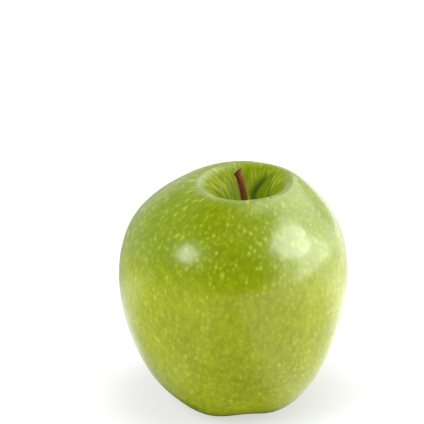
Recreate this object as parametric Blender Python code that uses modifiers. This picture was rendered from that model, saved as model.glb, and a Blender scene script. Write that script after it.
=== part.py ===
# A whole green apple with its stalk, resting on the five lobes round its base.
# Units are metres and +Z is up. The origin is on the resting plane, under the middle
# of the fruit's box, and the side that the camera sees faces -Y.
import math
import random

import bmesh
import bpy
from mathutils import Matrix, Vector

MM = 0.001

# Fruit: driving dimensions
FRUIT_WIDTH = 76 * MM  # across the belly
CROWN_HEIGHT = 76.5 * MM  # from the resting plane to the crown round the stalk cavity
FIT_GAP = 0.3 * MM  # clearance between pieces that meet

# Fruit: half outline, as control points of a smooth curve from the floor of the stalk
# cavity over the crown, down the side and into the basin underneath. Each is a share of
# half the width and a share of the crown's height.
FRUIT_OUTLINE = (
    (0.000, 0.797),
    (0.047, 0.799),
    (0.126, 0.842),
    (0.207, 0.920),
    (0.329, 0.994),
    (0.452, 1.016),
    (0.654, 0.951),
    (0.913, 0.837),
    (1.030, 0.626),
    (0.963, 0.365),
    (0.792, 0.132),
    (0.557, 0.009),
    (0.337, -0.010),
    (0.229, 0.042),
    (0.134, 0.088),
    (0.068, 0.102),
    (0.000, 0.102),
)
OUTLINE_STEPS = 3  # points between one control point and the next
FRUIT_STEPS = 72  # sides round the axis

# Fruit: uneven growth. Above the belly it acts on the crown, below it on the base.
BELLY_SHARE = 0.57  # share of the crown's height that keeps its place
LOBE_COUNT = 5
LOBE_ANGLE = math.radians(-44)  # direction of one lobe
CROWN_LOBE = 0.008  # swelling of a lobe, as a share of the radius
BASE_LOBE = 0.019
FOOT_DROP = 0.6 * MM  # how much lower a lobe reaches than the round form
FOOT_RADIUS = 15 * MM
CROWN_LEAN = 0.3 * MM  # sideways growth towards +X
BASE_LEAN = 0.9 * MM
CAVITY_LEAN = 5.1 * MM
CAVITY_REACH = 20.5 * MM  # distance from the axis over which the cavity's lean dies out
CAVITY_ONSET = 3  # the cavity's lean is full a third of the way from belly to crown
CROWN_TILT = (0.025, 0.064)  # rise of the crown for each metre along X and Y

# Stalk: its middle line, as X from the cavity's axis, Y and Z, and its radius there
STEM_FOOT = 57.8 * MM
STEM_LINE = (
    (0.0 * MM, 0.0 * MM, STEM_FOOT, 1.50 * MM),
    (0.0 * MM, 0.0 * MM, 61.0 * MM, 1.45 * MM),
    (-0.4 * MM, 0.1 * MM, 65.0 * MM, 1.15 * MM),
    (-1.2 * MM, 0.2 * MM, 69.5 * MM, 1.08 * MM),
    (-1.9 * MM, 0.1 * MM, 73.8 * MM, 1.10 * MM),
    (-2.7 * MM, 0.0 * MM, 77.6 * MM, 1.15 * MM),
    (-4.0 * MM, -0.1 * MM, 81.0 * MM, 1.42 * MM),
    (-4.6 * MM, -0.1 * MM, 82.6 * MM, 1.60 * MM),
)
STEM_SIDES = 16
STEM_CUT_POINT = (-3.75 * MM, 0, 80.3 * MM)  # the cut end, from the cavity's axis
STEM_CUT_NORMAL = (-0.65, 0.1, 0.76)

# Calyx: a collar sunk in the basin's floor, which carries five dried sepals
COLLAR_RADIUS = 3.2 * MM
COLLAR_BORE = 1.95 * MM
COLLAR_TOP = 8.6 * MM
COLLAR_FOOT = 6.4 * MM
COLLAR_SIDES = 24
SEPAL_COUNT = 5
SEPAL_THICKNESS = 0.6 * MM
SEPAL_HALF_WIDTH = 1.5 * MM  # at its root
SEPAL_TIP = 0.15 * MM
SEPAL_ROOT = (2.6 * MM, 6.9 * MM)  # radius and height
SEPAL_DROP = 5.4 * MM
SEPAL_PINCH = 0.6 * MM  # how far a sepal's middle leans in
SEPAL_FLARE = 1.3 * MM  # how far its tip turns out
SEPAL_CHANNEL = 0.35 * MM  # how far the middle of its width is hollowed
SEPAL_GRID = (4, 8)

# Stamens: a small disc in the collar's bore with a tuft of dried threads
TUFT_RADIUS = COLLAR_BORE - FIT_GAP
TUFT_TOP = 8.4 * MM
TUFT_THICKNESS = 0.9 * MM
THREAD_COUNT = 9
THREAD_RADIUS = 0.32 * MM
THREAD_TAPER = 0.8
THREAD_LENGTH = 3.2 * MM
THREAD_SPREAD = (0.8, 1.1)  # shortest and longest, as shares of the length
THREAD_LEAN = (-7, 3)  # degrees, from leaning in to leaning out
THREAD_RING = 0.95 * MM
THREAD_SEED = 7

# Finish: linear colour, roughness, and the angle above which an edge stays sharp
PEEL = ((0.32, 0.42, 0.03, 1), 0.28, 40)
STALK = ((0.16, 0.06, 0.03, 1), 0.75, 50)
DRIED_SEPAL = ((0.20, 0.15, 0.08, 1), 0.85, 40)
DRIED_THREAD = ((0.08, 0.05, 0.03, 1), 0.90, 40)


def clear_scene():
    for obj in list(bpy.data.objects):
        bpy.data.objects.remove(obj, do_unlink=True)


def new_collection(name, hidden=False):
    collection = bpy.data.collections.new(name)
    bpy.context.scene.collection.children.link(collection)
    collection.hide_render = hidden
    return collection


def new_object(name, mesh, collection):
    obj = bpy.data.objects.new(name, mesh)
    collection.objects.link(obj)
    return obj


def mesh_and_remove(obj):
    """The mesh that an object's modifiers or its curve give. The object is removed."""
    bpy.context.view_layer.update()
    graph = bpy.context.evaluated_depsgraph_get()
    mesh = bpy.data.meshes.new_from_object(obj.evaluated_get(graph))
    bpy.data.objects.remove(obj, do_unlink=True)
    return mesh


def smooth_curve(name, points, collection):
    """A curve object of one open spline through control points (x, y, z, radius)."""
    curve = bpy.data.curves.new(name, "CURVE")
    curve.dimensions = "3D"
    curve.resolution_u = OUTLINE_STEPS
    spline = curve.splines.new("NURBS")
    spline.points.add(len(points) - 1)
    for point, (x, y, z, radius) in zip(spline.points, points):
        point.co = (x, y, z, 1)
        point.radius = radius
    spline.order_u = 4
    spline.use_endpoint_u = True
    return new_object(name, curve, collection)


def turned_mesh(outline, steps):
    """The mesh of an object that holds a half outline, turned about Z."""
    screw = outline.modifiers.new("Turn", "SCREW")
    screw.axis = "Z"
    screw.steps = steps
    screw.render_steps = steps
    screw.use_merge_vertices = True
    screw.merge_threshold = 0.00002
    return mesh_and_remove(outline)


def upright_cone(name, foot, low_radius, high_radius, height, sides, collection):
    """A closed cone or cylinder that stands on a point."""
    mesh = bpy.data.meshes.new(name)
    shape = bmesh.new()
    bmesh.ops.create_cone(
        shape,
        cap_ends=True,
        segments=sides,
        radius1=low_radius,
        radius2=high_radius,
        depth=height,
        matrix=Matrix.Translation(foot + Vector((0, 0, height / 2))),
    )
    shape.to_mesh(mesh)
    shape.free()
    return new_object(name, mesh, collection)


def cut(obj, cutter):
    boolean = obj.modifiers.new("Hole " + cutter.name, "BOOLEAN")
    boolean.operation = "DIFFERENCE"
    boolean.solver = "EXACT"
    boolean.object = cutter
    cutter.hide_render = True
    cutter.display_type = "WIRE"


def joined(pieces, name, collection):
    """One object that is the union of closed pieces, which are then removed."""
    group = bpy.data.collections.new(name + "_pieces")
    bpy.context.scene.collection.children.link(group)
    for piece in pieces[1:]:
        collection.objects.unlink(piece)
        group.objects.link(piece)
    union = pieces[0].modifiers.new("Union", "BOOLEAN")
    union.operation = "UNION"
    union.solver = "EXACT"
    union.operand_type = "COLLECTION"
    union.collection = group
    mesh = mesh_and_remove(pieces[0])
    for piece in list(group.objects):
        bpy.data.objects.remove(piece, do_unlink=True)
    bpy.data.collections.remove(group)
    return new_object(name, mesh, collection)


def finish(obj, name, look):
    colour, roughness, sharp_angle = look
    material = bpy.data.materials.new(name)
    material.use_nodes = True
    shader = material.node_tree.nodes["Principled BSDF"]
    shader.inputs["Base Color"].default_value = colour
    shader.inputs["Roughness"].default_value = roughness
    shader.inputs["Metallic"].default_value = 0.0
    obj.data.materials.clear()
    obj.data.materials.append(material)
    obj.data.shade_smooth()
    obj.data.set_sharp_from_angle(angle=math.radians(sharp_angle))


def grown(point):
    """Where uneven growth puts a point of the turned form."""
    radius = math.hypot(point.x, point.y)
    angle = math.atan2(point.y, point.x)
    share = point.z / CROWN_HEIGHT
    up = max(share - BELLY_SHARE, 0) / (1 - BELLY_SHARE)
    down = max(BELLY_SHARE - share, 0) / BELLY_SHARE
    lobe = math.cos(LOBE_COUNT * (angle - LOBE_ANGLE))
    swelling = 1 + (CROWN_LOBE * up**2 + BASE_LOBE * down**2) * lobe
    x = radius * swelling * math.cos(angle)
    y = radius * swelling * math.sin(angle)
    foot = (radius / FOOT_RADIUS) ** 2 * math.exp(1 - (radius / FOOT_RADIUS) ** 2)
    z = point.z - FOOT_DROP * lobe * foot * down**2
    z += (CROWN_TILT[0] * x + CROWN_TILT[1] * y) * up**2
    x += CROWN_LEAN * up**2 + BASE_LEAN * down**2
    x += CAVITY_LEAN * min(CAVITY_ONSET * up, 1) * math.exp(-((radius / CAVITY_REACH) ** 2))
    return Vector((x, y, max(z, 0)))


def make_fruit(parts, cutters):
    """The fruit over the origin. It gives back the shift that centred it there."""
    outline = [
        (radius * FRUIT_WIDTH / 2, 0, height * CROWN_HEIGHT, 1)
        for radius, height in FRUIT_OUTLINE
    ]
    mesh = turned_mesh(smooth_curve("fruit_outline", outline, parts), FRUIT_STEPS)
    for vertex in mesh.vertices:
        vertex.co = grown(vertex.co)
    middle = [0, 0]
    for axis in range(2):
        places = [vertex.co[axis] for vertex in mesh.vertices]
        middle[axis] = (min(places) + max(places)) / 2
    shift = Vector((-middle[0], -middle[1], 0))
    mesh.transform(Matrix.Translation(shift))
    fruit = new_object("fruit", mesh, parts)

    stem_foot = axis_point(STEM_FOOT, shift) - Vector((0, 0, FIT_GAP))
    radius = STEM_LINE[0][3] + FIT_GAP
    depth = 8 * MM  # well past the cavity's floor
    cut(fruit, upright_cone("stem_socket", stem_foot, radius, radius, depth, STEM_SIDES, cutters))

    depth = 5 * MM  # from above the collar to well below the basin's floor
    collar_foot = axis_point(COLLAR_TOP, shift) + Vector((0, 0, FIT_GAP - depth))
    radius = COLLAR_RADIUS + FIT_GAP
    cut(fruit, upright_cone("collar_socket", collar_foot, radius, radius, depth, COLLAR_SIDES, cutters))

    finish(fruit, "peel", PEEL)
    return shift


def axis_point(height, shift):
    """The point of the grown fruit's own axis at a height."""
    place = grown(Vector((0, 0, height))) + shift
    return Vector((place.x, place.y, height))


def make_stem(shift, parts):
    """A bent, tapered tube, flared at both ends and cut off obliquely at its tip."""
    axis = axis_point(STEM_FOOT, shift)
    points = [(axis.x + x, axis.y + y, z, radius) for x, y, z, radius in STEM_LINE]
    line = smooth_curve("stem_line", points, parts)
    line.data.bevel_depth = 1
    line.data.bevel_resolution = STEM_SIDES // 4 - 1
    line.data.use_fill_caps = True
    mesh = mesh_and_remove(line)
    shape = bmesh.new()
    shape.from_mesh(mesh)
    bmesh.ops.remove_doubles(shape, verts=shape.verts, dist=0.01 * MM)
    sliced = bmesh.ops.bisect_plane(
        shape,
        geom=list(shape.verts) + list(shape.edges) + list(shape.faces),
        plane_co=Vector((axis.x, axis.y, 0)) + Vector(STEM_CUT_POINT),
        plane_no=STEM_CUT_NORMAL,
        clear_outer=True,
    )
    rim = [item for item in sliced["geom_cut"] if isinstance(item, bmesh.types.BMEdge)]
    bmesh.ops.edgeloop_fill(shape, edges=rim)
    bmesh.ops.recalc_face_normals(shape, faces=shape.faces)
    shape.to_mesh(mesh)
    shape.free()
    finish(new_object("stem", mesh, parts), "stalk", STALK)


def make_sepal(index, axis, parts):
    """One blade: a grid that narrows to its tip, pinched in and then turned out."""
    mesh = bpy.data.meshes.new("sepal")
    shape = bmesh.new()
    bmesh.ops.create_grid(
        shape, x_segments=SEPAL_GRID[0], y_segments=SEPAL_GRID[1], size=1
    )
    turn = Matrix.Rotation(2 * math.pi * index / SEPAL_COUNT + LOBE_ANGLE, 4, "Z")
    for vertex in shape.verts:
        across = vertex.co.x
        along = (vertex.co.y + 1) / 2
        radius = SEPAL_ROOT[0] - SEPAL_PINCH * math.sin(math.pi * along)
        radius += SEPAL_FLARE * along**3
        radius += SEPAL_CHANNEL * (1 - across**2) * (1 - along)
        half_width = SEPAL_HALF_WIDTH * (1 - along) ** 0.7 + SEPAL_TIP
        height = SEPAL_ROOT[1] - SEPAL_DROP * along
        vertex.co = turn @ Vector((radius, across * half_width, height)) + axis
    shape.to_mesh(mesh)
    shape.free()
    blade = new_object("sepal", mesh, parts)
    solid = blade.modifiers.new("Thickness", "SOLIDIFY")
    solid.thickness = SEPAL_THICKNESS
    solid.offset = 0
    return new_object("sepal_blade", mesh_and_remove(blade), parts)


def make_collar(axis, parts):
    corners = [
        (COLLAR_BORE, 0, COLLAR_TOP),
        (COLLAR_RADIUS, 0, COLLAR_TOP),
        (COLLAR_RADIUS, 0, COLLAR_FOOT),
        (COLLAR_BORE, 0, COLLAR_FOOT),
    ]
    mesh = bpy.data.meshes.new("collar_outline")
    mesh.from_pydata(corners, [(0, 1), (1, 2), (2, 3), (3, 0)], [])
    turned = turned_mesh(new_object("collar_outline", mesh, parts), COLLAR_SIDES)
    turned.transform(Matrix.Translation(axis))
    return new_object("collar", turned, parts)


def make_calyx(shift, parts):
    axis = axis_point(COLLAR_TOP, shift) * Vector((1, 1, 0))
    pieces = [make_collar(axis, parts)]
    for index in range(SEPAL_COUNT):
        pieces.append(make_sepal(index, axis, parts))
    finish(joined(pieces, "calyx", parts), "dried_sepal", DRIED_SEPAL)


def make_thread(root, lean, length, parts):
    """One dried thread, hanging from its root."""
    thread = upright_cone(
        "thread", Vector(), THREAD_RADIUS, THREAD_RADIUS * THREAD_TAPER, length, 6, parts
    )
    down = Matrix.Rotation(math.pi, 4, "X")
    thread.data.transform(Matrix.Translation(root) @ lean @ down)
    return thread


def make_stamens(shift, parts):
    draw = random.Random(THREAD_SEED)
    foot = axis_point(TUFT_TOP, shift) - Vector((0, 0, TUFT_THICKNESS))
    disc = upright_cone("disc", foot, TUFT_RADIUS, TUFT_RADIUS, TUFT_THICKNESS, 16, parts)
    root = foot + Vector((0, 0, TUFT_THICKNESS / 2))
    pieces = [disc, make_thread(root, Matrix.Identity(4), THREAD_LENGTH, parts)]
    for index in range(THREAD_COUNT):
        angle = 2 * math.pi * index / THREAD_COUNT
        place = Vector((math.cos(angle), math.sin(angle), 0)) * THREAD_RING
        tilt = math.radians(draw.uniform(*THREAD_LEAN))
        lean = Matrix.Rotation(angle, 4, "Z") @ Matrix.Rotation(tilt, 4, "Y")
        length = THREAD_LENGTH * draw.uniform(*THREAD_SPREAD)
        pieces.append(make_thread(root + place, lean, length, parts))
    finish(joined(pieces, "stamens", parts), "dried_thread", DRIED_THREAD)


def main():
    clear_scene()
    parts = new_collection("apple")
    cutters = new_collection("cutters", hidden=True)
    shift = make_fruit(parts, cutters)
    make_stem(shift, parts)
    make_calyx(shift, parts)
    make_stamens(shift, parts)


main()
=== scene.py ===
import math
import random

import bpy
import numpy as np
from mathutils import Euler, Matrix, Vector, noise


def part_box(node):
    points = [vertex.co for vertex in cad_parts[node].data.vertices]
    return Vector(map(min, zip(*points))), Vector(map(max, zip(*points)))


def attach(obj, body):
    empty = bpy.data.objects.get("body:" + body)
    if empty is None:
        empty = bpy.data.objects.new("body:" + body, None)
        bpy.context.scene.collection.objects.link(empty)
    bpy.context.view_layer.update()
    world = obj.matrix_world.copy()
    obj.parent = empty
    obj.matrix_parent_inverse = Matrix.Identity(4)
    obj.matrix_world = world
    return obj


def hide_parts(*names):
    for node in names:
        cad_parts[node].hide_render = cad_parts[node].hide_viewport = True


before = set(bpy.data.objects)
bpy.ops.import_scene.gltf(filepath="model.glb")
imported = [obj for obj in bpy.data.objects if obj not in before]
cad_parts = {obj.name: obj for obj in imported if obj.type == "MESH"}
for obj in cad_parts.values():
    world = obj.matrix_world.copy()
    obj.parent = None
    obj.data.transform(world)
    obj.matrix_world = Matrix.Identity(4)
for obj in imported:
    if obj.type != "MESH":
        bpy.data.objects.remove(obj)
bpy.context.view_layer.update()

mm = 0.001

# camera first: it brings the point below to where the photo has it
photo = {
    "frame": 424,  # pixels, both ways
    "appleAt": (233.2, 288.1),  # pixel of the point below
    "point": (0.0, 0.0, 39 * mm),  # half way up the fruit, on its axis
    "pixelsPerMetre": 2990,  # at that point
    "elevation": 23,  # degrees above the table
    "distance": 0.60,
    "sensor": 36.0,
}


def makeCamera():
    cameraData = bpy.data.cameras.new("photoCamera")
    camera = bpy.data.objects.new("photoCamera", cameraData)
    bpy.context.scene.collection.objects.link(camera)
    point = Vector(photo["point"])
    elevation = math.radians(photo["elevation"])
    back = Vector((0, -math.cos(elevation), math.sin(elevation)))
    camera.location = point + back * photo["distance"]
    focal = photo["pixelsPerMetre"] * photo["distance"]  # in pixels
    cameraData.sensor_width = photo["sensor"]
    cameraData.lens = focal * photo["sensor"] / photo["frame"]
    cameraData.clip_start = 0.01
    cameraData.clip_end = 20
    cameraData.dof.use_dof = False
    # turned up and left, so that the apple stands low and right of the middle
    half = photo["frame"] / 2
    turnLeft = math.atan((photo["appleAt"][0] - half) / focal)
    turnUp = math.atan((photo["appleAt"][1] - half) / focal)
    straight = (-back).to_track_quat("-Z", "Y").to_matrix()
    aimed = straight @ Euler((turnUp, turnLeft, 0)).to_matrix()
    camera.rotation_mode = "QUATERNION"
    camera.rotation_quaternion = aimed.to_quaternion()
    bpy.context.scene.camera = camera


makeCamera()
print("camera placed")


# mesh helpers

def smoothLine(points, resolution=24):
    # the points of a smooth curve that follows control points, closed up to its ends
    curve = bpy.data.curves.new("guide", "CURVE")
    curve.dimensions = "3D"
    curve.resolution_u = resolution
    spline = curve.splines.new("NURBS")
    spline.points.add(len(points) - 1)
    for target, point in zip(spline.points, points):
        target.co = (*point, 1)
    spline.order_u = 4
    spline.use_endpoint_u = True
    guide = bpy.data.objects.new("guide", curve)
    line = np.array([tuple(vertex.co) for vertex in guide.to_mesh().vertices])
    bpy.data.objects.remove(guide)
    bpy.data.curves.remove(curve)
    return line


def lengthsAlong(line):
    steps = np.linalg.norm(np.diff(line, axis=0), axis=1)
    return np.concatenate([[0], np.cumsum(steps)])


def evenly(line, count):
    # the same line with evenly spaced points
    along = lengthsAlong(line)
    wanted = np.linspace(0, along[-1], count)
    return np.stack([np.interp(wanted, along, line[:, axis]) for axis in range(3)], axis=1)


def smoothStep(low, high, value):
    share = np.clip((value - low) / (high - low), 0, 1)
    return share * share * (3 - 2 * share)


def anglesRound(count):
    return np.arange(count) * 2 * math.pi / count


def ringedMesh(name, rings, capStart=None, capEnd=None):
    # rings is rows x columns x 3, outside to the right of the way down the rows
    rows, columns = rings.shape[:2]
    places = [tuple(place) for place in rings.reshape(-1, 3)]
    faces = []
    for row in range(rows - 1):
        for column in range(columns):
            after = (column + 1) % columns
            upper = row * columns
            lower = upper + columns
            faces.append((upper + column, lower + column, lower + after, upper + after))
    if capStart is not None:
        places.append(tuple(capStart))
        top = len(places) - 1
        faces += [(top, column, (column + 1) % columns) for column in range(columns)]
    if capEnd is not None:
        places.append(tuple(capEnd))
        foot = len(places) - 1
        last = (rows - 1) * columns
        faces += [(foot, last + (column + 1) % columns, last + column) for column in range(columns)]
    mesh = bpy.data.meshes.new(name)
    mesh.from_pydata(places, [], faces)
    mesh.validate()
    mesh.shade_smooth()
    return mesh


def storeVector(mesh, name, values):
    attribute = mesh.attributes.new(name, "FLOAT_VECTOR", "POINT")
    attribute.data.foreach_set("vector", np.asarray(values, np.float32).ravel())


def addPiece(name, mesh, material, node):
    piece = bpy.data.objects.new(name, mesh)
    bpy.context.scene.collection.objects.link(piece)
    mesh.materials.append(material)
    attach(piece, "root")
    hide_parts(node)
    return piece


# shader helpers

def newNode(tree, kind, settings=None, inputs=None):
    node = tree.nodes.new(kind)
    for key, value in (settings or {}).items():
        setattr(node, key, value)
    for key, value in (inputs or {}).items():
        if isinstance(value, bpy.types.NodeSocket):
            tree.links.new(value, node.inputs[key])
        else:
            node.inputs[key].default_value = value
    return node


def mathNode(tree, operation, first, second=0.0, third=0.0, clamp=False):
    settings = {"operation": operation, "use_clamp": clamp}
    return newNode(tree, "ShaderNodeMath", settings, {0: first, 1: second, 2: third}).outputs[0]


def rangeNode(tree, value, fromLow, fromHigh, toLow=0.0, toHigh=1.0):
    settings = {"interpolation_type": "SMOOTHSTEP", "clamp": True}
    ends = {"From Min": fromLow, "From Max": fromHigh, "To Min": toLow, "To Max": toHigh}
    return newNode(tree, "ShaderNodeMapRange", settings, {"Value": value, **ends}).outputs[0]


def mixColour(tree, factor, first, second, blend="MIX"):
    mix = newNode(tree, "ShaderNodeMix", {"data_type": "RGBA", "blend_type": blend})
    for socket, value in ((mix.inputs[0], factor), (mix.inputs[6], first), (mix.inputs[7], second)):
        if isinstance(value, bpy.types.NodeSocket):
            tree.links.new(value, socket)
        else:
            socket.default_value = value
    return mix.outputs[2]


def vectorNode(tree, operation, first, second=(0, 0, 0)):
    inputs = {0: first, 1: second}
    return newNode(tree, "ShaderNodeVectorMath", {"operation": operation}, inputs).outputs


def scaled(tree, vector, scale):
    return vectorNode(tree, "MULTIPLY", vector, scale)[0]


def partsOf(tree, vector):
    return newNode(tree, "ShaderNodeSeparateXYZ", None, {0: vector}).outputs


def storedVector(tree, name):
    return newNode(tree, "ShaderNodeAttribute", {"attribute_name": name}).outputs["Vector"]


def noiseNode(tree, place, scale, detail, roughness):
    inputs = {"Vector": place, "Scale": scale, "Detail": detail, "Roughness": roughness}
    return newNode(tree, "ShaderNodeTexNoise", None, inputs).outputs["Fac"]


def addBump(tree, shader, height, strength, distance):
    inputs = {"Height": height, "Strength": strength, "Distance": distance}
    bump = newNode(tree, "ShaderNodeBump", None, inputs)
    tree.links.new(bump.outputs[0], shader.inputs["Normal"])


def newGroup(name, inputs, outputs):
    # inputs and outputs are (name, socket type, default value or None)
    tree = bpy.data.node_groups.new(name, "ShaderNodeTree")
    for label, kind, value in inputs:
        socket = tree.interface.new_socket(label, in_out="INPUT", socket_type=kind)
        if value is not None:
            socket.default_value = value
    for label, kind in outputs:
        tree.interface.new_socket(label, in_out="OUTPUT", socket_type=kind)
    return tree, tree.nodes.new("NodeGroupInput").outputs, tree.nodes.new("NodeGroupOutput").inputs


def useGroup(tree, group, inputs):
    return newNode(tree, "ShaderNodeGroup", {"node_tree": group}, inputs).outputs


def newMaterial(name):
    material = bpy.data.materials.new(name)
    material.use_nodes = True
    tree = material.node_tree
    return material, tree, tree.nodes["Principled BSDF"]


def makeMottle():
    # soft patches between two colours, stretched along the growth
    tree, given, put = newGroup(
        "growthMottle",
        [
            ("Place", "NodeSocketVector", None),
            ("Patch Size", "NodeSocketFloat", 8.0),
            ("Contrast", "NodeSocketFloat", 1.0),
            ("First Colour", "NodeSocketColor", (0.3, 0.4, 0.02, 1)),
            ("Second Colour", "NodeSocketColor", (0.5, 0.55, 0.05, 1)),
        ],
        [("Colour", "NodeSocketColor"), ("Share", "NodeSocketFloat")],
    )
    scale = mathNode(tree, "DIVIDE", 1.0, given["Patch Size"])
    patches = noiseNode(tree, given["Place"], scale, 3.0, 0.55)
    centred = mathNode(tree, "SUBTRACT", patches, 0.5)
    spread = mathNode(tree, "MULTIPLY_ADD", centred, given["Contrast"], 0.5, clamp=True)
    colour = mixColour(tree, spread, given["First Colour"], given["Second Colour"])
    tree.links.new(colour, put["Colour"])
    tree.links.new(spread, put["Share"])
    return tree


def makeFibre():
    # fine lines along the growth, for the stalk and what is dried
    tree, given, put = newGroup(
        "growthFibre",
        [
            ("Place", "NodeSocketVector", None),
            ("Line Width", "NodeSocketFloat", 0.25),
            ("Line Length", "NodeSocketFloat", 4.0),
        ],
        [("Height", "NodeSocketFloat"), ("Grooves", "NodeSocketFloat")],
    )
    parts = partsOf(tree, given["Place"])
    across = [mathNode(tree, "DIVIDE", parts[axis], given["Line Width"]) for axis in range(2)]
    along = mathNode(tree, "DIVIDE", parts[2], given["Line Length"])
    inputs = {0: across[0], 1: across[1], 2: along}
    place = newNode(tree, "ShaderNodeCombineXYZ", None, inputs).outputs[0]
    lines = noiseNode(tree, place, 1.0, 4.0, 0.6)
    tree.links.new(lines, put["Height"])
    tree.links.new(rangeNode(tree, lines, 0.5, 0.34), put["Grooves"])
    return tree


mottleGroup = makeMottle()
fibreGroup = makeFibre()


# fruit

fruit = {
    "width": 76 * mm,  # across the belly
    "crownHeight": 76.5 * mm,
    # half outline from the cavity's floor over the crown and down into the basin,
    # as shares of half the width and of the crown's height
    "outline": [
        (0.000, 0.797), (0.047, 0.799), (0.126, 0.842), (0.207, 0.920), (0.329, 0.994),
        (0.452, 1.016), (0.654, 0.951), (0.913, 0.837), (1.030, 0.626), (0.963, 0.365),
        (0.783, 0.131), (0.543, 0.008), (0.337, -0.010), (0.229, 0.042), (0.134, 0.088),
        (0.068, 0.102), (0.000, 0.102),
    ],
    "rows": 260,
    "columns": 300,
    "bellyShare": 0.57,  # share of the height that keeps its place
    "lobeCount": 5,
    "lobeAngle": math.radians(-44),
    "crownLobe": 0.008,  # swelling of the lobes, as shares of the radius
    "baseLobe": 0.019,
    "footDrop": 0.6 * mm,  # how much lower the lobes reach, and at what radius
    "footRadius": 15 * mm,
    "crownLean": 0.3 * mm,  # sideways, to the photo's right
    "baseLean": 0.9 * mm,
    "cavityLean": 5.1 * mm,
    "cavityReach": 20.5 * mm,
    "cavityOnset": 3,
    "crownTilt": (0.025, 0.064),  # rise of the crown to the right and to the back
    "waveSize": 13 * mm,  # slow unevenness of the skin
    "waveHeight": 0.16 * mm,
    "waveDetail": (2.3, 0.4),  # a second wave: how much finer it is, and its share
    "ribCount": 17,  # faint ribs that run down into the cavity
    "ribHeight": 0.05 * mm,
    "ribDrift": (3, 1.7),  # places round where they crowd, and how much
    "calmRadius": 6 * mm,  # less relief within it, and none at the axis
    # zones of the skin, as the radii in mm where each starts and where it is whole
    "crownZone": (30, 12),
    "cavityZone": (17, 9),
    "basinZone": (20, 6),
    "zoneHeights": (20, 45),  # mm: the basin is below the first, the crown above the second
    # young skin for each mm of grown skin, and how much less in crown, cavity and basin
    "growth": 0.86,
    "growthLess": (0.38, 0.21, 0.30),
    # the crease in the cavity's wall slants: its angle at two radii
    "furrowRadii": (7.5, 12.5),  # mm
    "furrowAngles": (math.radians(74), math.radians(46)),
    "furrowEnds": ((2.5, 5.5), (13.5, 9.5)),  # radii where it starts and is whole, mm
    "furrowWidth": 0.13,  # radians, as the angles below
    "furrowDepth": 0.6 * mm,
    # where the wall is streaked most: angle, width and strength
    "streakSides": ((math.radians(168), 0.7, 0.8), (math.radians(32), 0.3, 0.6)),
    "streakLeast": 0.2,
}


def growFruit(radius, angle, height):
    # where uneven growth puts points of the turned form
    share = height / fruit["crownHeight"]
    up = np.clip(share - fruit["bellyShare"], 0, None) / (1 - fruit["bellyShare"])
    down = np.clip(fruit["bellyShare"] - share, 0, None) / fruit["bellyShare"]
    lobe = np.cos(fruit["lobeCount"] * (angle - fruit["lobeAngle"]))
    swelling = 1 + (fruit["crownLobe"] * up**2 + fruit["baseLobe"] * down**2) * lobe
    x = radius * swelling * np.cos(angle)
    y = radius * swelling * np.sin(angle)
    reach = (radius / fruit["footRadius"]) ** 2
    z = height - fruit["footDrop"] * lobe * reach * np.exp(1 - reach) * down**2
    z = z + (fruit["crownTilt"][0] * x + fruit["crownTilt"][1] * y) * up**2
    x = x + fruit["crownLean"] * up**2 + fruit["baseLean"] * down**2
    lean = fruit["cavityLean"] * np.clip(fruit["cavityOnset"] * up, 0, 1)
    x = x + lean * np.exp(-((radius / fruit["cavityReach"]) ** 2))
    return np.stack([x, y, np.clip(z, 0, None)], axis=-1)


def fruitOutline():
    points = [
        (radius * fruit["width"] / 2, 0, height * fruit["crownHeight"])
        for radius, height in fruit["outline"]
    ]
    return evenly(smoothLine(points), fruit["rows"])


def skinPlaces(outline, angle):
    # the skin as it was before the fruit swelled, in mm: spots that are round there
    # come out long on the shoulders and as streaks in the cavity
    radius, height = outline[:, 0] / mm, outline[:, 2] / mm
    crest = int(np.argmax(height))
    basinTop, crownFoot = fruit["zoneHeights"]
    crown = smoothStep(*fruit["crownZone"], radius) * (height > crownFoot)
    wall = smoothStep(*fruit["cavityZone"], radius)
    inside = np.where(np.arange(len(radius)) < crest, wall, 0)
    basin = smoothStep(*fruit["basinZone"], radius) * (height < basinTop)
    crownLess, cavityLess, basinLess = fruit["growthLess"]
    growth = fruit["growth"] - crownLess * crown - cavityLess * inside - basinLess * basin
    belly = int(np.argmax(radius))
    steps = np.diff(radius) * (growth[1:] + growth[:-1]) / 2
    young = np.concatenate([[0], np.cumsum(steps)])
    young += radius[belly] - young[belly]
    rises = np.diff(height) * (growth[1:] + growth[:-1]) / 2
    level = np.concatenate([[0], np.cumsum(rises)])
    level -= level[belly]
    flat = [young[:, None] * np.cos(angle), young[:, None] * np.sin(angle)]
    return np.stack([*flat, level[:, None] + 0 * angle], axis=-1), inside, basin


def furrowShare(outline, inside, angle):
    # one deep crease in the cavity's wall, behind and right of the stalk
    radius = outline[:, :1] / mm
    middle = np.interp(radius, fruit["furrowRadii"], fruit["furrowAngles"])
    away = np.angle(np.exp(1j * (angle - middle)))
    low, high = fruit["furrowEnds"]
    along = smoothStep(*low, radius) * smoothStep(*high, radius) * (inside[:, None] > 0)
    return along * np.exp(-((away / fruit["furrowWidth"]) ** 2))


def streakShare(angle):
    # how streaked the cavity's wall is, all round
    share = fruit["streakLeast"] + 0 * angle
    for middle, width, strength in fruit["streakSides"]:
        away = np.angle(np.exp(1j * (angle - middle)))
        share = share + strength * np.exp(-((away / width) ** 2))
    return np.clip(share, 0, 1)


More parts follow.
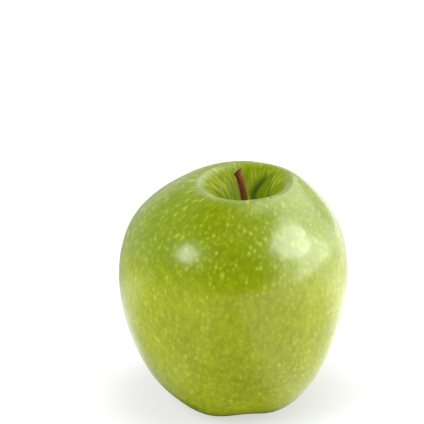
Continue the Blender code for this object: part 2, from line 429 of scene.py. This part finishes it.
def addRelief(rings, outline, skin, inside, angle, furrow):
    # slow waves all over, faint ribs down the cavity's wall, and the crease in it
    along = np.gradient(rings, axis=0)
    across = np.roll(rings, -1, axis=1) - np.roll(rings, 1, axis=1)
    outward = np.cross(along, across)
    outward /= np.linalg.norm(outward, axis=-1, keepdims=True) + 1e-12
    rows, columns = rings.shape[:2]
    wave = np.empty((rows, columns))
    size = fruit["waveSize"] / mm
    finer, finerShare = fruit["waveDetail"]
    for row in range(rows):
        for column in range(columns):
            place = Vector(skin[row, column]) / size
            wave[row, column] = noise.noise(place) + finerShare * noise.noise(place * finer)
    crowded, drift = fruit["ribDrift"]
    ribs = np.sin(fruit["ribCount"] * angle + drift * np.sin(crowded * angle))
    height = fruit["waveHeight"] * wave + fruit["ribHeight"] * ribs * inside[:, None]
    height = height - fruit["furrowDepth"] * furrow
    share = smoothStep(0, fruit["calmRadius"], outline[:, 0])[:, None]
    moved = rings + outward * (height * share)[..., None]
    moved[..., 2] = np.clip(moved[..., 2], 0, None)
    moved[..., 2][rings[..., 2] <= 0] = 0  # what stands on the table stays there
    return moved


def withEnds(values):
    # one more vector for the middle of each end: the mean of the ring round it
    ends = [values[0].mean(axis=0), values[-1].mean(axis=0)]
    return np.concatenate([values.reshape(-1, 3), ends])


def makeFruitMesh():
    outline = fruitOutline()[1:-1]
    angle = anglesRound(fruit["columns"])
    rings = growFruit(outline[:, :1], angle[None, :], outline[:, 2:])
    low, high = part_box("fruit")
    span = rings.reshape(-1, 3)
    shift = np.zeros(3)
    for axis in range(2):
        middle = (span[:, axis].min() + span[:, axis].max()) / 2
        shift[axis] = (low[axis] + high[axis]) / 2 - middle
    skin, inside, basin = skinPlaces(outline, angle[None, :])
    furrow = furrowShare(outline, inside, angle[None, :])
    rings = addRelief(rings + shift, outline, skin, inside, angle[None, :], furrow)
    mesh = ringedMesh("applePeel", rings, rings[0].mean(axis=0), rings[-1].mean(axis=0))
    storeVector(mesh, "skinPlace", withEnds(skin))
    # shares of cavity, basin and crease; the crease's share also places the painted shade in it
    zones = np.stack(np.broadcast_arrays(inside[:, None], basin[:, None], furrow), axis=-1)
    storeVector(mesh, "skinZone", withEnds(zones))
    # share of streaks in the cavity, three times over
    streaky = inside[:, None] * streakShare(angle[None, :])
    storeVector(mesh, "skinMarks", withEnds(np.repeat(streaky[..., None], 3, axis=-1)))
    return mesh, shift


peel = {
    "shoulderGreen": (0.190, 0.265, 0.001, 1),
    "bodyGreen": (0.325, 0.380, 0.002, 1),
    "shoulderLevels": (2.0, 16.0),  # mm above the belly, from the one green to the other
    "deepPatch": (0.190, 0.255, 0.001, 1),
    "patchSize": 15.0,  # mm
    "patchContrast": 3.0,
    "patchShare": 0.4,
    "cavityGreen": (0.165, 0.235, 0.001, 1),
    "cavityShare": 0.8,
    "basinGreen": (0.36, 0.40, 0.03, 1),
    "basinShare": 0.6,
    "fleckShades": (0.89, 1.13),  # darkest and lightest
    # lenticels, as spacing in mm, reach as a share of it, strength, and where the pattern starts
    "spot": (0.54, 0.60, 0.055, 1),
    "spotLayers": (
        (3.4, 0.27, 0.66, 0.0),
        (2.0, 0.40, 0.55, 41.0),
        (1.5, 0.45, 0.32, 87.0),
    ),
    "spotReach": (0.6, 1.3),  # of the smallest and the biggest in a layer
    "spotFaintest": 0.45,
    # streaks: the noise where they start and where they are whole, and their strength
    "streak": (0.54, 0.53, 0.08, 1),
    "paleStreaks": (0.55, 0.64, 0.9),
    "deepStreak": (0.085, 0.130, 0.001, 1),
    "deepStreaks": (0.46, 0.37, 0.5),
    # near black: painted shade in the crease, and how much of it
    "furrow": (0.030, 0.045, 0.001, 1),
    "creaseShadeStrength": 0.85,
    "roughness": (0.36, 0.50),
    "cavityRoughness": 0.6,
    "spotRise": 0.35,  # of the spots beside the grain
    "bump": (0.2, 0.1 * mm),  # strength and depth
    "coatEnds": (0.1, 0.7),  # shares of the cavity between which the wax loses its gloss
    "constants": {
        "Specular IOR Level": 0.12,
        "IOR": 1.45,
        "Coat Roughness": 0.19,
        "Coat IOR": 1.46,
        "Subsurface Weight": 0.08,
        "Subsurface Radius": (1.0, 0.9, 0.2),
        "Subsurface Scale": 1 * mm,
    },
}


def makeSpotMask(tree, place):
    # lenticels: a few big clear spots, many soft ones, and a faint fine set
    spotMask = 0.0
    smallest, biggest = peel["spotReach"]
    for spacing, size, strength, offset in peel["spotLayers"]:
        moved = vectorNode(tree, "ADD", place, (offset, 0, 0))[0]
        moved = scaled(tree, moved, (1.0, 1.0, 0.8))
        inputs = {"Vector": moved, "Scale": 1 / spacing, "Randomness": 0.9}
        cells = newNode(tree, "ShaderNodeTexVoronoi", {"feature": "F1"}, inputs).outputs
        draw = newNode(tree, "ShaderNodeSeparateColor", None, {0: cells["Color"]}).outputs
        reach = rangeNode(tree, draw[0], 0.0, 1.0, size * smallest, size * biggest)
        outward = mathNode(tree, "DIVIDE", cells["Distance"], reach)
        edge = mathNode(tree, "SUBTRACT", 1.0, outward, clamp=True)
        clear = mathNode(tree, "MULTIPLY", rangeNode(tree, edge, 0.0, 0.9), strength)
        faintness = rangeNode(tree, draw[1], 0.0, 1.0, peel["spotFaintest"], 1.0)
        clear = mathNode(tree, "MULTIPLY", clear, faintness)
        spotMask = mathNode(tree, "MAXIMUM", clear, spotMask)
    return spotMask


def makePeelMaterial():
    material, tree, shader = newMaterial("applePeel")
    place = storedVector(tree, "skinPlace")
    cavity, basin, creaseShade = partsOf(tree, storedVector(tree, "skinZone"))
    streaky = partsOf(tree, storedVector(tree, "skinMarks"))[0]

    # greener on the shoulders, yellower below, with slow patches
    rise = rangeNode(tree, partsOf(tree, place)[2], *peel["shoulderLevels"])
    colour = mixColour(tree, rise, peel["bodyGreen"], peel["shoulderGreen"])
    patches = useGroup(tree, mottleGroup, {
        "Place": place, "Patch Size": peel["patchSize"], "Contrast": peel["patchContrast"],
        "First Colour": (0, 0, 0, 1), "Second Colour": (1, 1, 1, 1),
    })["Share"]
    share = mathNode(tree, "MULTIPLY", patches, peel["patchShare"])
    colour = mixColour(tree, share, colour, peel["deepPatch"])
    share = rangeNode(tree, cavity, 0.1, 0.9, 0.0, peel["cavityShare"])
    colour = mixColour(tree, share, colour, peel["cavityGreen"])
    share = mathNode(tree, "MULTIPLY", basin, peel["basinShare"])
    colour = mixColour(tree, share, colour, peel["basinGreen"])

    # small soft flecks, lighter and darker
    flecks = noiseNode(tree, scaled(tree, place, (1.0, 1.0, 0.75)), 0.6, 3.0, 0.6)
    shade = rangeNode(tree, flecks, 0.3, 0.7, *peel["fleckShades"])
    greys = newNode(tree, "ShaderNodeCombineXYZ", None, {0: shade, 1: shade, 2: shade})
    colour = mixColour(tree, 1.0, colour, greys.outputs[0], "MULTIPLY")

    spotMask = makeSpotMask(tree, place)
    colour = mixColour(tree, spotMask, colour, peel["spot"])

    # pale and dark streaks that run down into the cavity, and painted shade in the crease
    streaks = noiseNode(tree, scaled(tree, place, (1.0, 1.0, 0.12)), 0.85, 2.0, 0.7)
    start, whole, strength = peel["paleStreaks"]
    pale = mathNode(tree, "MULTIPLY", rangeNode(tree, streaks, start, whole), streaky)
    share = mathNode(tree, "MULTIPLY", pale, strength)
    colour = mixColour(tree, share, colour, peel["streak"])
    start, whole, strength = peel["deepStreaks"]
    deep = mathNode(tree, "MULTIPLY", rangeNode(tree, streaks, start, whole), cavity)
    share = mathNode(tree, "MULTIPLY", deep, strength)
    colour = mixColour(tree, share, colour, peel["deepStreak"])
    share = mathNode(tree, "MULTIPLY", creaseShade, peel["creaseShadeStrength"])
    colour = mixColour(tree, share, colour, peel["furrow"])
    tree.links.new(colour, shader.inputs["Base Color"])

    # wax: a gloss that is uneven at the scale of the pores, and dull in the cavity
    grain = noiseNode(tree, place, 1.5, 3.0, 0.6)
    roughness = rangeNode(tree, grain, 0.3, 0.7, *peel["roughness"])
    dull = rangeNode(tree, cavity, 0.0, 0.7)
    dull = mathNode(tree, "MULTIPLY", dull, peel["cavityRoughness"])
    tree.links.new(mathNode(tree, "MAXIMUM", roughness, dull), shader.inputs["Roughness"])
    coat = rangeNode(tree, cavity, *peel["coatEnds"], 1.0, 0.0)
    tree.links.new(coat, shader.inputs["Coat Weight"])
    height = mathNode(tree, "MULTIPLY_ADD", spotMask, peel["spotRise"], grain)
    addBump(tree, shader, height, *peel["bump"])
    for label, value in peel["constants"].items():
        shader.inputs[label].default_value = value
    return material


fruitMesh, axisShift = makeFruitMesh()
addPiece("applePeel", fruitMesh, makePeelMaterial(), "fruit")
print("fruit made,", len(fruitMesh.polygons), "faces")


def axisPoint(height):
    # the point of the fruit's own axis at a height
    place = growFruit(np.array(0.0), np.array(0.0), np.array(height)) + axisShift
    return Vector((place[0], place[1], height))


# stalk

stalk = {
    # middle line as x from the cavity's axis, y, z, and the radius there
    "line": [
        (0.0, 0.0, 57.8, 1.50), (0.0, 0.0, 61.0, 1.45), (-0.4, 0.1, 65.0, 1.15),
        (-1.2, 0.2, 69.5, 1.08), (-1.9, 0.1, 73.8, 1.10), (-2.7, 0.0, 77.6, 1.15),
        (-4.0, -0.1, 81.0, 1.42), (-4.6, -0.1, 82.6, 1.60),
    ],  # mm
    "cutPoint": (-3.75, 0.0, 80.3),
    "cutNormal": (-0.65, 0.1, 0.76),
    "cutBlend": 3.0,  # length over which the rings turn into the cut's plane
    "rows": 150,
    "sides": 64,
    "grooves": 9,
    "grooveDepth": 0.055,  # share of the radius
    "grooveShares": (0.55, 1.3),  # of the regular ridges and of the fine unevenness
    "grooveSwing": (0.25, 0.5, 0.03),  # swing to and fro, how often, and steady turn
    "lip": (0.10, 0.5),  # torn edge round the cut: height as a share, and length
    "capRings": (0.93, 0.8, 0.62, 0.42, 0.2),
    "capSink": 0.35,
}


def tubeRings(line, radii, sides, roughen):
    # rings across a line, whose first point is the tip; roughen(row, angle) scales the radius
    angle = anglesRound(sides)
    tangents = np.gradient(line, axis=0)
    tangents /= np.linalg.norm(tangents, axis=1, keepdims=True)
    rings = np.empty((len(line), sides, 3))
    for row in range(len(line)):
        upward = -tangents[row]
        side = np.cross((0, 1, 0), upward)
        side /= np.linalg.norm(side)
        front = np.cross(upward, side)
        reach = radii[row] * roughen(row, angle)
        ring = np.outer(reach * np.cos(angle), side) + np.outer(reach * np.sin(angle), front)
        rings[row] = line[row] + ring
    return rings, -tangents


def makeStalkMesh():
    control = stalk["line"]
    axis = axisPoint(control[0][2] * mm)
    path = evenly(smoothLine([point[:3] for point in control]), 400)
    widths = evenly(smoothLine([(point[3], 0, point[2]) for point in control]), 400)
    cutPoint, cutNormal = np.array(stalk["cutPoint"]), np.array(stalk["cutNormal"])
    inside = (path - cutPoint) @ cutNormal < 0
    path = evenly(path[inside], stalk["rows"])[::-1]
    radii = np.interp(path[:, 2], widths[:, 2], widths[:, 0])
    along = lengthsAlong(path)

    swing, pace, turn = stalk["grooveSwing"]
    ridgeShare, fineShare = stalk["grooveShares"]
    lipHeight, lipLength = stalk["lip"]

    def roughen(row, angle):
        wander = swing * math.sin(along[row] * pace) + along[row] * turn
        ridges = np.sin(stalk["grooves"] * (angle + wander) + 1.3 * np.sin(2 * angle))
        fine = np.array([
            noise.noise(Vector((2.2 * math.cos(one), 2.2 * math.sin(one), along[row] * 0.45)))
            for one in angle
        ])
        lip = lipHeight * math.exp(-along[row] / lipLength)
        return 1 + stalk["grooveDepth"] * (ridgeShare * ridges + fineShare * fine) + lip

    rings, upward = tubeRings(path, radii, stalk["sides"], roughen)
    # the rings near the tip slide along the stalk until the first lies in the cut's plane
    for row in range(len(path)):
        weight = float(smoothStep(stalk["cutBlend"], 0, along[row]))
        if weight > 0:
            way = upward[row]
            plane = cutPoint if row == 0 else path[row]
            slide = ((plane - rings[row]) @ cutNormal) / (way @ cutNormal)
            rings[row] += np.outer(slide * weight, way)
    cap = []
    middle = rings[0].mean(axis=0)
    for index, share in enumerate(stalk["capRings"]):
        sink = stalk["capSink"] * (1 - share) * (0.6 + 0.4 * math.sin(index * 2.1))
        cap.append(middle + (rings[0] - middle) * share - cutNormal * sink)
    rings = np.concatenate([cap[::-1], rings])
    start = middle - cutNormal * stalk["capSink"] * 0.7
    shift = np.array((axis.x / mm, axis.y / mm, 0))
    rings, start, end = [(places + shift) * mm for places in (rings, start, path[-1])]
    mesh = ringedMesh("stalk", rings, start, end)
    # straightened coordinates, with the cut end marked by z below zero
    cutMark = -1.2
    angle = anglesRound(stalk["sides"])
    circle = np.stack([np.cos(angle), np.sin(angle)], axis=1)
    level = np.ones(len(angle))
    places = [
        np.column_stack([circle * share, level * (share + cutMark)])
        for share in stalk["capRings"][::-1]
    ]
    places += [np.column_stack([circle, level * reach]) for reach in along]
    flat = np.concatenate([*places, [(0, 0, cutMark), (0, 0, along[-1])]])
    storeVector(mesh, "skinPlace", flat)
    return mesh


bark = {
    "brown": (0.140, 0.036, 0.010, 1),
    "pale": (0.30, 0.098, 0.036, 1),
    "groove": (0.028, 0.007, 0.003, 1),
    "grooveShare": 0.75,
    "paintedLightShare": 0.7,  # of pale on the right side, where the lamps are: a painted highlight
    "paintedShadeShare": 0.6,  # of dark on the other side: painted shade
    "footGreen": (0.20, 0.16, 0.03, 1),
    "footEnds": (13.0, 21.0, 0.5),  # mm from the tip where it starts and is whole, strength
    "cutEnd": (0.050, 0.014, 0.007, 1),
    "cutEnds": (0.35, -0.05, 0.85),
    "roughness": (0.75, 0.5),
    "bump": (0.7, 0.3 * mm),  # strength and depth
}


def makeStalkMaterial():
    material, tree, shader = newMaterial("stalkBark")
    shader.inputs["Specular IOR Level"].default_value = 0.15
    place = storedVector(tree, "skinPlace")
    side, _, length = partsOf(tree, place)
    colour = useGroup(tree, mottleGroup, {
        "Place": scaled(tree, place, (1.0, 1.0, 0.45)), "Patch Size": 1.1, "Contrast": 2.6,
        "First Colour": bark["brown"], "Second Colour": bark["pale"],
    })["Colour"]
    # painted light and shade: pale on the lit right side, dark on the left, with the groove colour
    # as the shade
    paintedLight = rangeNode(tree, side, 0.1, 1.0, 0.0, bark["paintedLightShare"])
    colour = mixColour(tree, paintedLight, colour, bark["pale"])
    paintedShade = rangeNode(tree, side, -0.1, -1.0, 0.0, bark["paintedShadeShare"])
    colour = mixColour(tree, paintedShade, colour, bark["groove"])
    fibre = useGroup(tree, fibreGroup, {"Place": place, "Line Width": 0.16, "Line Length": 3.5})
    share = mathNode(tree, "MULTIPLY", fibre["Grooves"], bark["grooveShare"])
    colour = mixColour(tree, share, colour, bark["groove"])
    # a little green at the foot, and dark on the cut
    for ends, tint in (("footEnds", "footGreen"), ("cutEnds", "cutEnd")):
        start, whole, strength = bark[ends]
        share = mathNode(tree, "MULTIPLY", rangeNode(tree, length, start, whole), strength)
        colour = mixColour(tree, share, colour, bark[tint])
    tree.links.new(colour, shader.inputs["Base Color"])
    roughness = rangeNode(tree, fibre["Height"], 0.3, 0.7, *bark["roughness"])
    tree.links.new(roughness, shader.inputs["Roughness"])
    addBump(tree, shader, fibre["Height"], *bark["bump"])
    return material


stalkMesh = makeStalkMesh()
addPiece("stalk", stalkMesh, makeStalkMaterial(), "stem")
print("stalk made,", len(stalkMesh.polygons), "faces")


# calyx

calyx = {
    "collar": {"radius": 3.2, "bore": 1.95, "top": 8.6, "foot": 6.4},  # mm, as all lengths here
    "collarGrid": (60, 96),
    "collarBumps": ((0.02, 10, 0), (0.015, 23, 1)),  # share, how many round, and turn
    "sepals": 5,
    "sepalGrid": (18, 44),
    "seed": 11,
    "sizes": (0.92, 1.08),
    "twist": 0.35,
    "halfWidth": 1.5,
    "taper": 0.7,
    "tip": 0.15,
    "root": (2.6, 6.9),  # radius and height
    "drop": 5.4,
    "pinch": 0.6,
    "flare": 1.3,
    "channel": 0.35,
    "thickness": 0.42,
    "crumple": 0.16,
    "dark": (0.22, 0.17, 0.09, 1),
    "pale": (0.40, 0.33, 0.17, 1),
    "groove": (0.08, 0.055, 0.03, 1),
    "lineWidth": 0.22,
}


def makeSepalMesh():
    # dried leaves round the collar: pinched in, tips turned out, edges crumpled
    centre = axisPoint(calyx["collar"]["top"] * mm) / mm
    columns, rows = calyx["sepalGrid"]
    across, along = np.meshgrid(np.linspace(-1, 1, columns), np.linspace(0, 1, rows))
    places, faces, texture = [], [], []
    draw = random.Random(calyx["seed"])
    for index in range(calyx["sepals"]):
        turn = 2 * math.pi * index / calyx["sepals"] + fruit["lobeAngle"]
        size = draw.uniform(*calyx["sizes"])
        twist = draw.uniform(-calyx["twist"], calyx["twist"])
        halfWidth = calyx["halfWidth"] * size * (1 - along) ** calyx["taper"] + calyx["tip"]
        radius = calyx["root"][0] - calyx["pinch"] * np.sin(math.pi * along)
        radius = radius + calyx["flare"] * size * along**3
        radius = radius + calyx["channel"] * (1 - across**2) * (1 - along)
        radius = radius + twist * across * along * (1 - along) * 2
        height = calyx["root"][1] - calyx["drop"] * along
        for row in range(rows):
            for column in range(columns):
                here = Vector((across[row, column] * 1.6 + index * 7, along[row, column] * 4, 0))
                crumple = calyx["crumple"] * noise.noise(here) * (0.3 + along[row, column])
                reach = radius[row, column] + crumple
                side = across[row, column] * halfWidth[row, column]
                x = reach * math.cos(turn) - side * math.sin(turn)
                y = reach * math.sin(turn) + side * math.cos(turn)
                places.append(((centre.x + x) * mm, (centre.y + y) * mm, height[row, column] * mm))
                texture.append((side, index * 9.0, along[row, column] * 6))
        first = index * rows * columns
        for row in range(rows - 1):
            for column in range(columns - 1):
                corner = first + row * columns + column
                faces.append((corner, corner + columns, corner + columns + 1, corner + 1))
    mesh = bpy.data.meshes.new("calyxSepals")
    mesh.from_pydata(places, [], faces)
    mesh.shade_smooth()
    storeVector(mesh, "skinPlace", texture)
    return mesh


def makeCollarMesh():
    ring = calyx["collar"]
    centre = axisPoint(ring["top"] * mm)
    # section from the bore's top, over the outside, to the bore's foot
    section = [
        (ring["bore"], ring["top"]), (ring["bore"] + 0.15, ring["top"] - 0.02),
        (ring["radius"] - 0.3, ring["top"] - 0.02), (ring["radius"], ring["top"] - 0.4),
        (ring["radius"] - 0.05, ring["foot"] + 0.7), (ring["radius"] - 0.3, ring["foot"] + 0.15),
        (ring["radius"] - 0.7, ring["foot"]), (ring["bore"] + 0.15, ring["foot"] + 0.12),
        (ring["bore"], ring["foot"] + 0.5), (ring["bore"], ring["top"]),
    ]
    points, sides = calyx["collarGrid"]
    line = evenly(np.array([(radius, 0, height) for radius, height in section]), points)
    angle = anglesRound(sides)
    bumps = 1 + 0 * angle
    for share, count, turn in calyx["collarBumps"]:
        bumps = bumps + share * np.sin(count * angle + turn)
    x, y = line[:, :1] * np.cos(angle), line[:, :1] * np.sin(angle)
    z = line[:, 2:] + 0 * angle
    rings = np.stack([x * bumps, y * bumps, z], axis=-1)
    mesh = ringedMesh("calyxCollar", rings * mm + np.array((centre.x, centre.y, 0)))
    storeVector(mesh, "skinPlace", np.stack([x, y, z], axis=-1))
    return mesh


# stamens

stamens = {
    "threads": 20,
    "ring": (0.55, 1.25),  # mm from the axis, between which the threads stand
    "root": 8.0,
    "length": (2.6, 3.9),
    "lean": (-0.5, 0.15),  # inward and outward at the tip
    "bend": 0.35,
    "radius": 0.11,
    "taper": 0.3,
    "tipSize": 0.24,
    "tipLength": 0.35,
    "grid": (26, 12),
    "disc": (1.6, 7.6, 8.35),  # radius, underside, top
    "discSides": 48,
    "seed": 7,
    "dark": (0.09, 0.055, 0.03, 1),
    "pale": (0.24, 0.16, 0.09, 1),
    "groove": (0.03, 0.02, 0.012, 1),
    "lineWidth": 0.15,
}


def makeStamenMesh():
    # dried threads with shrunken heads, on a small disc
    centre = np.array(axisPoint(stamens["root"] * mm)) / mm * (1, 1, 0)
    draw = random.Random(stamens["seed"])
    places, faces, texture = [], [], []

    def addRings(rings, capStart, capEnd, along):
        mesh = ringedMesh("part", rings, capStart, capEnd)
        first = len(places)
        places.extend(tuple(vertex.co) for vertex in mesh.vertices)
        faces.extend(tuple(first + corner for corner in face.vertices) for face in mesh.polygons)
        texture.extend((vertex.co.x, vertex.co.y, vertex.co.z + along) for vertex in mesh.vertices)
        bpy.data.meshes.remove(mesh)

    radius, under, top = stamens["disc"]
    angle = anglesRound(stamens["discSides"])
    circle = np.stack([np.cos(angle), np.sin(angle), 0 * angle], axis=1)
    section = [
        (radius * 0.5, top), (radius, top), (radius, (top + under) / 2),
        (radius * 0.9, under), (radius * 0.5, under),
    ]
    disc = np.array([centre + circle * reach + (0, 0, level) for reach, level in section])
    addRings(disc, centre + (0, 0, top), centre + (0, 0, under), 0)

    goldenAngle = 2.399963  # so the tuft is evenly filled
    count, sides = stamens["grid"]
    steps = np.linspace(1, 0, count)
    inner, outer = stamens["ring"]
    for index in range(stamens["threads"]):
        start = inner + (outer - inner) * draw.random()
        length = draw.uniform(*stamens["length"])
        lean = draw.uniform(*stamens["lean"])
        bend = draw.uniform(-stamens["bend"], stamens["bend"])
        outward = start + lean * steps**2
        swing = index * goldenAngle + bend * steps**2
        x, y = outward * np.cos(swing), outward * np.sin(swing)
        line = centre + np.stack([x, y, stamens["root"] - length * steps], axis=1)
        head = np.exp(-(((1 - steps) * length / stamens["tipLength"]) - 1) ** 2)
        radii = stamens["radius"] * (1 - stamens["taper"] * steps)
        radii = radii + (stamens["tipSize"] - stamens["radius"]) * head
        rings, _ = tubeRings(
            line, radii, sides, lambda row, angle: 1 + 0.12 * np.sin(3 * angle + row)
        )
        tip = line[0] - 0.3 * (line[1] - line[0])
        addRings(rings[:, ::-1], tip, line[-1], index * 3.0)
    mesh = bpy.data.meshes.new("driedStamens")
    mesh.from_pydata([tuple(value * mm for value in place) for place in places], [], faces)
    mesh.shade_smooth()
    storeVector(mesh, "skinPlace", texture)
    return mesh


def makeDriedMaterial(name, look):
    # mottled and fibrous, for sepals and threads alike
    material, tree, shader = newMaterial(name)
    place = storedVector(tree, "skinPlace")
    colour = useGroup(tree, mottleGroup, {
        "Place": place, "Patch Size": 1.3, "Contrast": 2.4,
        "First Colour": look["dark"], "Second Colour": look["pale"],
    })["Colour"]
    fibre = useGroup(tree, fibreGroup, {
        "Place": place, "Line Width": look["lineWidth"], "Line Length": 3.0,
    })
    share = mathNode(tree, "MULTIPLY", fibre["Grooves"], 0.6)
    colour = mixColour(tree, share, colour, look["groove"])
    tree.links.new(colour, shader.inputs["Base Color"])
    roughness = rangeNode(tree, fibre["Height"], 0.3, 0.7, 0.95, 0.75)
    tree.links.new(roughness, shader.inputs["Roughness"])
    addBump(tree, shader, fibre["Height"], 0.6, 0.2 * mm)
    return material


sepalMaterial = makeDriedMaterial("driedSepal", calyx)
threadMaterial = makeDriedMaterial("driedThread", stamens)
sepals = addPiece("calyxSepals", makeSepalMesh(), sepalMaterial, "calyx")
thickness = sepals.modifiers.new("thickness", "SOLIDIFY")
thickness.thickness = calyx["thickness"] * mm
thickness.offset = 0
addPiece("calyxCollar", makeCollarMesh(), sepalMaterial, "calyx")
addPiece("driedStamens", makeStamenMesh(), threadMaterial, "stamens")
print("calyx and stamens made")


# studio: a white table that glows, soft lights, and bright walls in the gloss

studio = {
    "tableSize": 4.0,
    "tableColour": (0.27, 0.27, 0.28, 1),
    "tableInGloss": (0.02, 0.02, 0.02, 1),
    "tableGlow": 1.02,  # as it lights the fruit
    "paintedShadeUnder": (0.017, 0.034, 0.35),  # less glow under the fruit, painted shade on its foot: near distance, far one, and the glow at the near one
    "tableSeen": 0.60,  # as the camera has it, beside the fruit, darkest there: a painted shadow on top of the lamps' one
    # more of it further off, which fades the painted shadow out: from one distance to another, and
    # how much
    "paintedShadowRamps": ((0.024, 0.052, 0.19), (0.10, 0.60, 0.33)),
    # glow in the gloss: axis (x is 0), the place where it starts, where it is whole, and strength
    "tableShine": (
        (0, 0.01, 0.03, 0.90), (0, 0.10, 0.18, 0.70), (0, -0.015, -0.035, 0.35),
        (1, -0.005, 0.03, 0.70), (1, 0.05, 0.11, -0.60),
    ),
    "reach": 0.75,  # distance of the lights from the fruit
    # way to the light from the fruit, roll in degrees, width, height, watts;
    # a shine shows in the gloss alone, and a fill only lights
    "lights": {
        "rightShine": ((0.735, -0.18, 0.635), 45, 0.50, 0.56, 6.0),
        "leftShine": ((-0.66, -0.36, 0.66), 35, 0.24, 0.34, 1.6),
        "leftFill": ((-0.60, -0.45, 0.66), 0, 0.5, 0.5, 4.6),
        "topFill": ((0.40, 0.05, 0.90), 0, 0.9, 0.9, 4.4),
        "rightFill": ((0.95, 0.0, 0.14), 0, 0.6, 0.6, 6.5),
        "backFill": ((-0.80, 0.40, 0.30), 0, 0.5, 0.5, 1.6),
    },
    "warmTint": (1.0, 0.93, 0.90),  # of the right fill
    # the room in the gloss, as ramps of the way's x, y and z from dark to bright, and
    # brightness; where two walls overlap, the brighter one shows
    "walls": {
        "rightBack": ((0.28, 0.58), (-0.25, 0.15), (0.10, 0.45), 3.0),
        "rightBackLow": ((0.55, 0.80), (-0.20, 0.15), None, 1.15),
        "rightFar": ((0.76, 0.94), (0.60, 0.30), None, 6.5),
        "rightFront": ((0.50, 0.80), None, None, 2.5),
        "rightHigh": ((-0.15, 0.25), (-0.05, 0.20), (0.45, 0.65), 3.6),
        "leftSide": ((-0.40, -0.60), None, None, 0.25),
        "backLow": (None, (-0.05, 0.12), (0.38, 0.25), 0.6),
        "back": (None, (-0.05, 0.12), (0.90, 0.80), 0.3),
        "backFar": (None, (0.65, 0.90), None, 0.7),
        "crestBack": ((0.0, 0.20), (0.10, 0.30), (0.20, 0.45), 2.4),
    },
}


def makeTable():
    half = studio["tableSize"] / 2
    corners = [(-half, -half, 0), (half, -half, 0), (half, half, 0), (-half, half, 0)]
    mesh = bpy.data.meshes.new("table")
    mesh.from_pydata(corners, [], [(0, 1, 2, 3)])
    table = bpy.data.objects.new("table", mesh)
    bpy.context.scene.collection.objects.link(table)
    material, tree, shader = newMaterial("tableWhite")
    paths = newNode(tree, "ShaderNodeLightPath").outputs
    colour = mixColour(tree, paths["Is Glossy Ray"], studio["tableColour"], studio["tableInGloss"])
    tree.links.new(colour, shader.inputs["Base Color"])
    shader.inputs["Roughness"].default_value = 0.6
    shader.inputs["Specular IOR Level"].default_value = 0.0
    # lit through from below like a photographer's table, which keeps the shadow faint; its glow is
    # also painted darker near the fruit
    shader.inputs["Emission Color"].default_value = (1, 1, 1, 1)
    place = newNode(tree, "ShaderNodeTexCoord").outputs["Object"]
    places = partsOf(tree, place)
    shine = 0.0
    for axis, start, whole, strength in studio["tableShine"]:
        more = rangeNode(tree, places[axis], start, whole, 0.0, strength)
        shine = mathNode(tree, "ADD", more, shine)
    away = vectorNode(tree, "LENGTH", place)["Value"]
    # less glow under the fruit, so its foot gets painted shade
    near, far, least = studio["paintedShadeUnder"]
    lighting = rangeNode(tree, away, near, far, least, studio["tableGlow"])
    # the glow the camera sees, lower beside the fruit: a painted shadow
    seen = studio["tableSeen"]
    for near, far, more in studio["paintedShadowRamps"]:
        seen = mathNode(tree, "ADD", rangeNode(tree, away, near, far, 0.0, more), seen)
    difference = mathNode(tree, "SUBTRACT", seen, lighting)
    glow = mathNode(tree, "MULTIPLY_ADD", paths["Is Camera Ray"], difference, lighting)
    difference = mathNode(tree, "SUBTRACT", shine, glow)
    glow = mathNode(tree, "MULTIPLY_ADD", paths["Is Glossy Ray"], difference, glow)
    tree.links.new(glow, shader.inputs["Emission Strength"])
    material.cycles.emission_sampling = "NONE"  # keeps what lights and what shines apart
    mesh.materials.append(material)


def makeLights():
    middle = Vector(photo["point"])
    for name, (way, roll, width, height, watts) in studio["lights"].items():
        lamp = bpy.data.lights.new(name, "AREA")
        lamp.shape = "ELLIPSE"
        lamp.size = width
        lamp.size_y = height
        lamp.energy = watts
        lamp.color = studio["warmTint"] if name == "rightFill" else (1, 1, 1)
        light = bpy.data.objects.new(name, lamp)
        bpy.context.scene.collection.objects.link(light)
        way = Vector(way).normalized()
        light.location = middle + way * studio["reach"]
        light.rotation_mode = "QUATERNION"
        turn = Matrix.Rotation(math.radians(roll), 3, "Z").to_quaternion()
        light.rotation_quaternion = way.to_track_quat("Z", "Y") @ turn
        light.visible_camera = False
        light.visible_diffuse = name.endswith("Fill")
        light.visible_glossy = name.endswith("Shine")


def makeSurroundings():
    world = bpy.data.worlds.new("studio")
    bpy.context.scene.world = world
    world.cycles.sampling_method = "NONE"  # as for the table
    world.use_nodes = True
    tree = world.node_tree
    background = tree.nodes["Background"]
    parts = partsOf(tree, newNode(tree, "ShaderNodeTexCoord").outputs["Generated"])
    light = 0.0
    for *ramps, brightness in studio["walls"].values():
        wall = brightness
        for part, ramp in zip(parts, ramps):
            if ramp:
                wall = mathNode(tree, "MULTIPLY", rangeNode(tree, part, *ramp), wall)
        light = mathNode(tree, "MAXIMUM", wall, light)
    # the walls only shine, the fill lights do the lighting
    paths = newNode(tree, "ShaderNodeLightPath").outputs
    light = mathNode(tree, "MULTIPLY", light, paths["Is Glossy Ray"])
    light = mathNode(tree, "MAXIMUM", light, paths["Is Camera Ray"])
    tree.links.new(light, background.inputs["Strength"])
    background.inputs["Color"].default_value = (1, 1, 1, 1)


makeTable()
makeLights()
makeSurroundings()
bpy.context.scene.view_settings.view_transform = "Standard"
print("studio made")
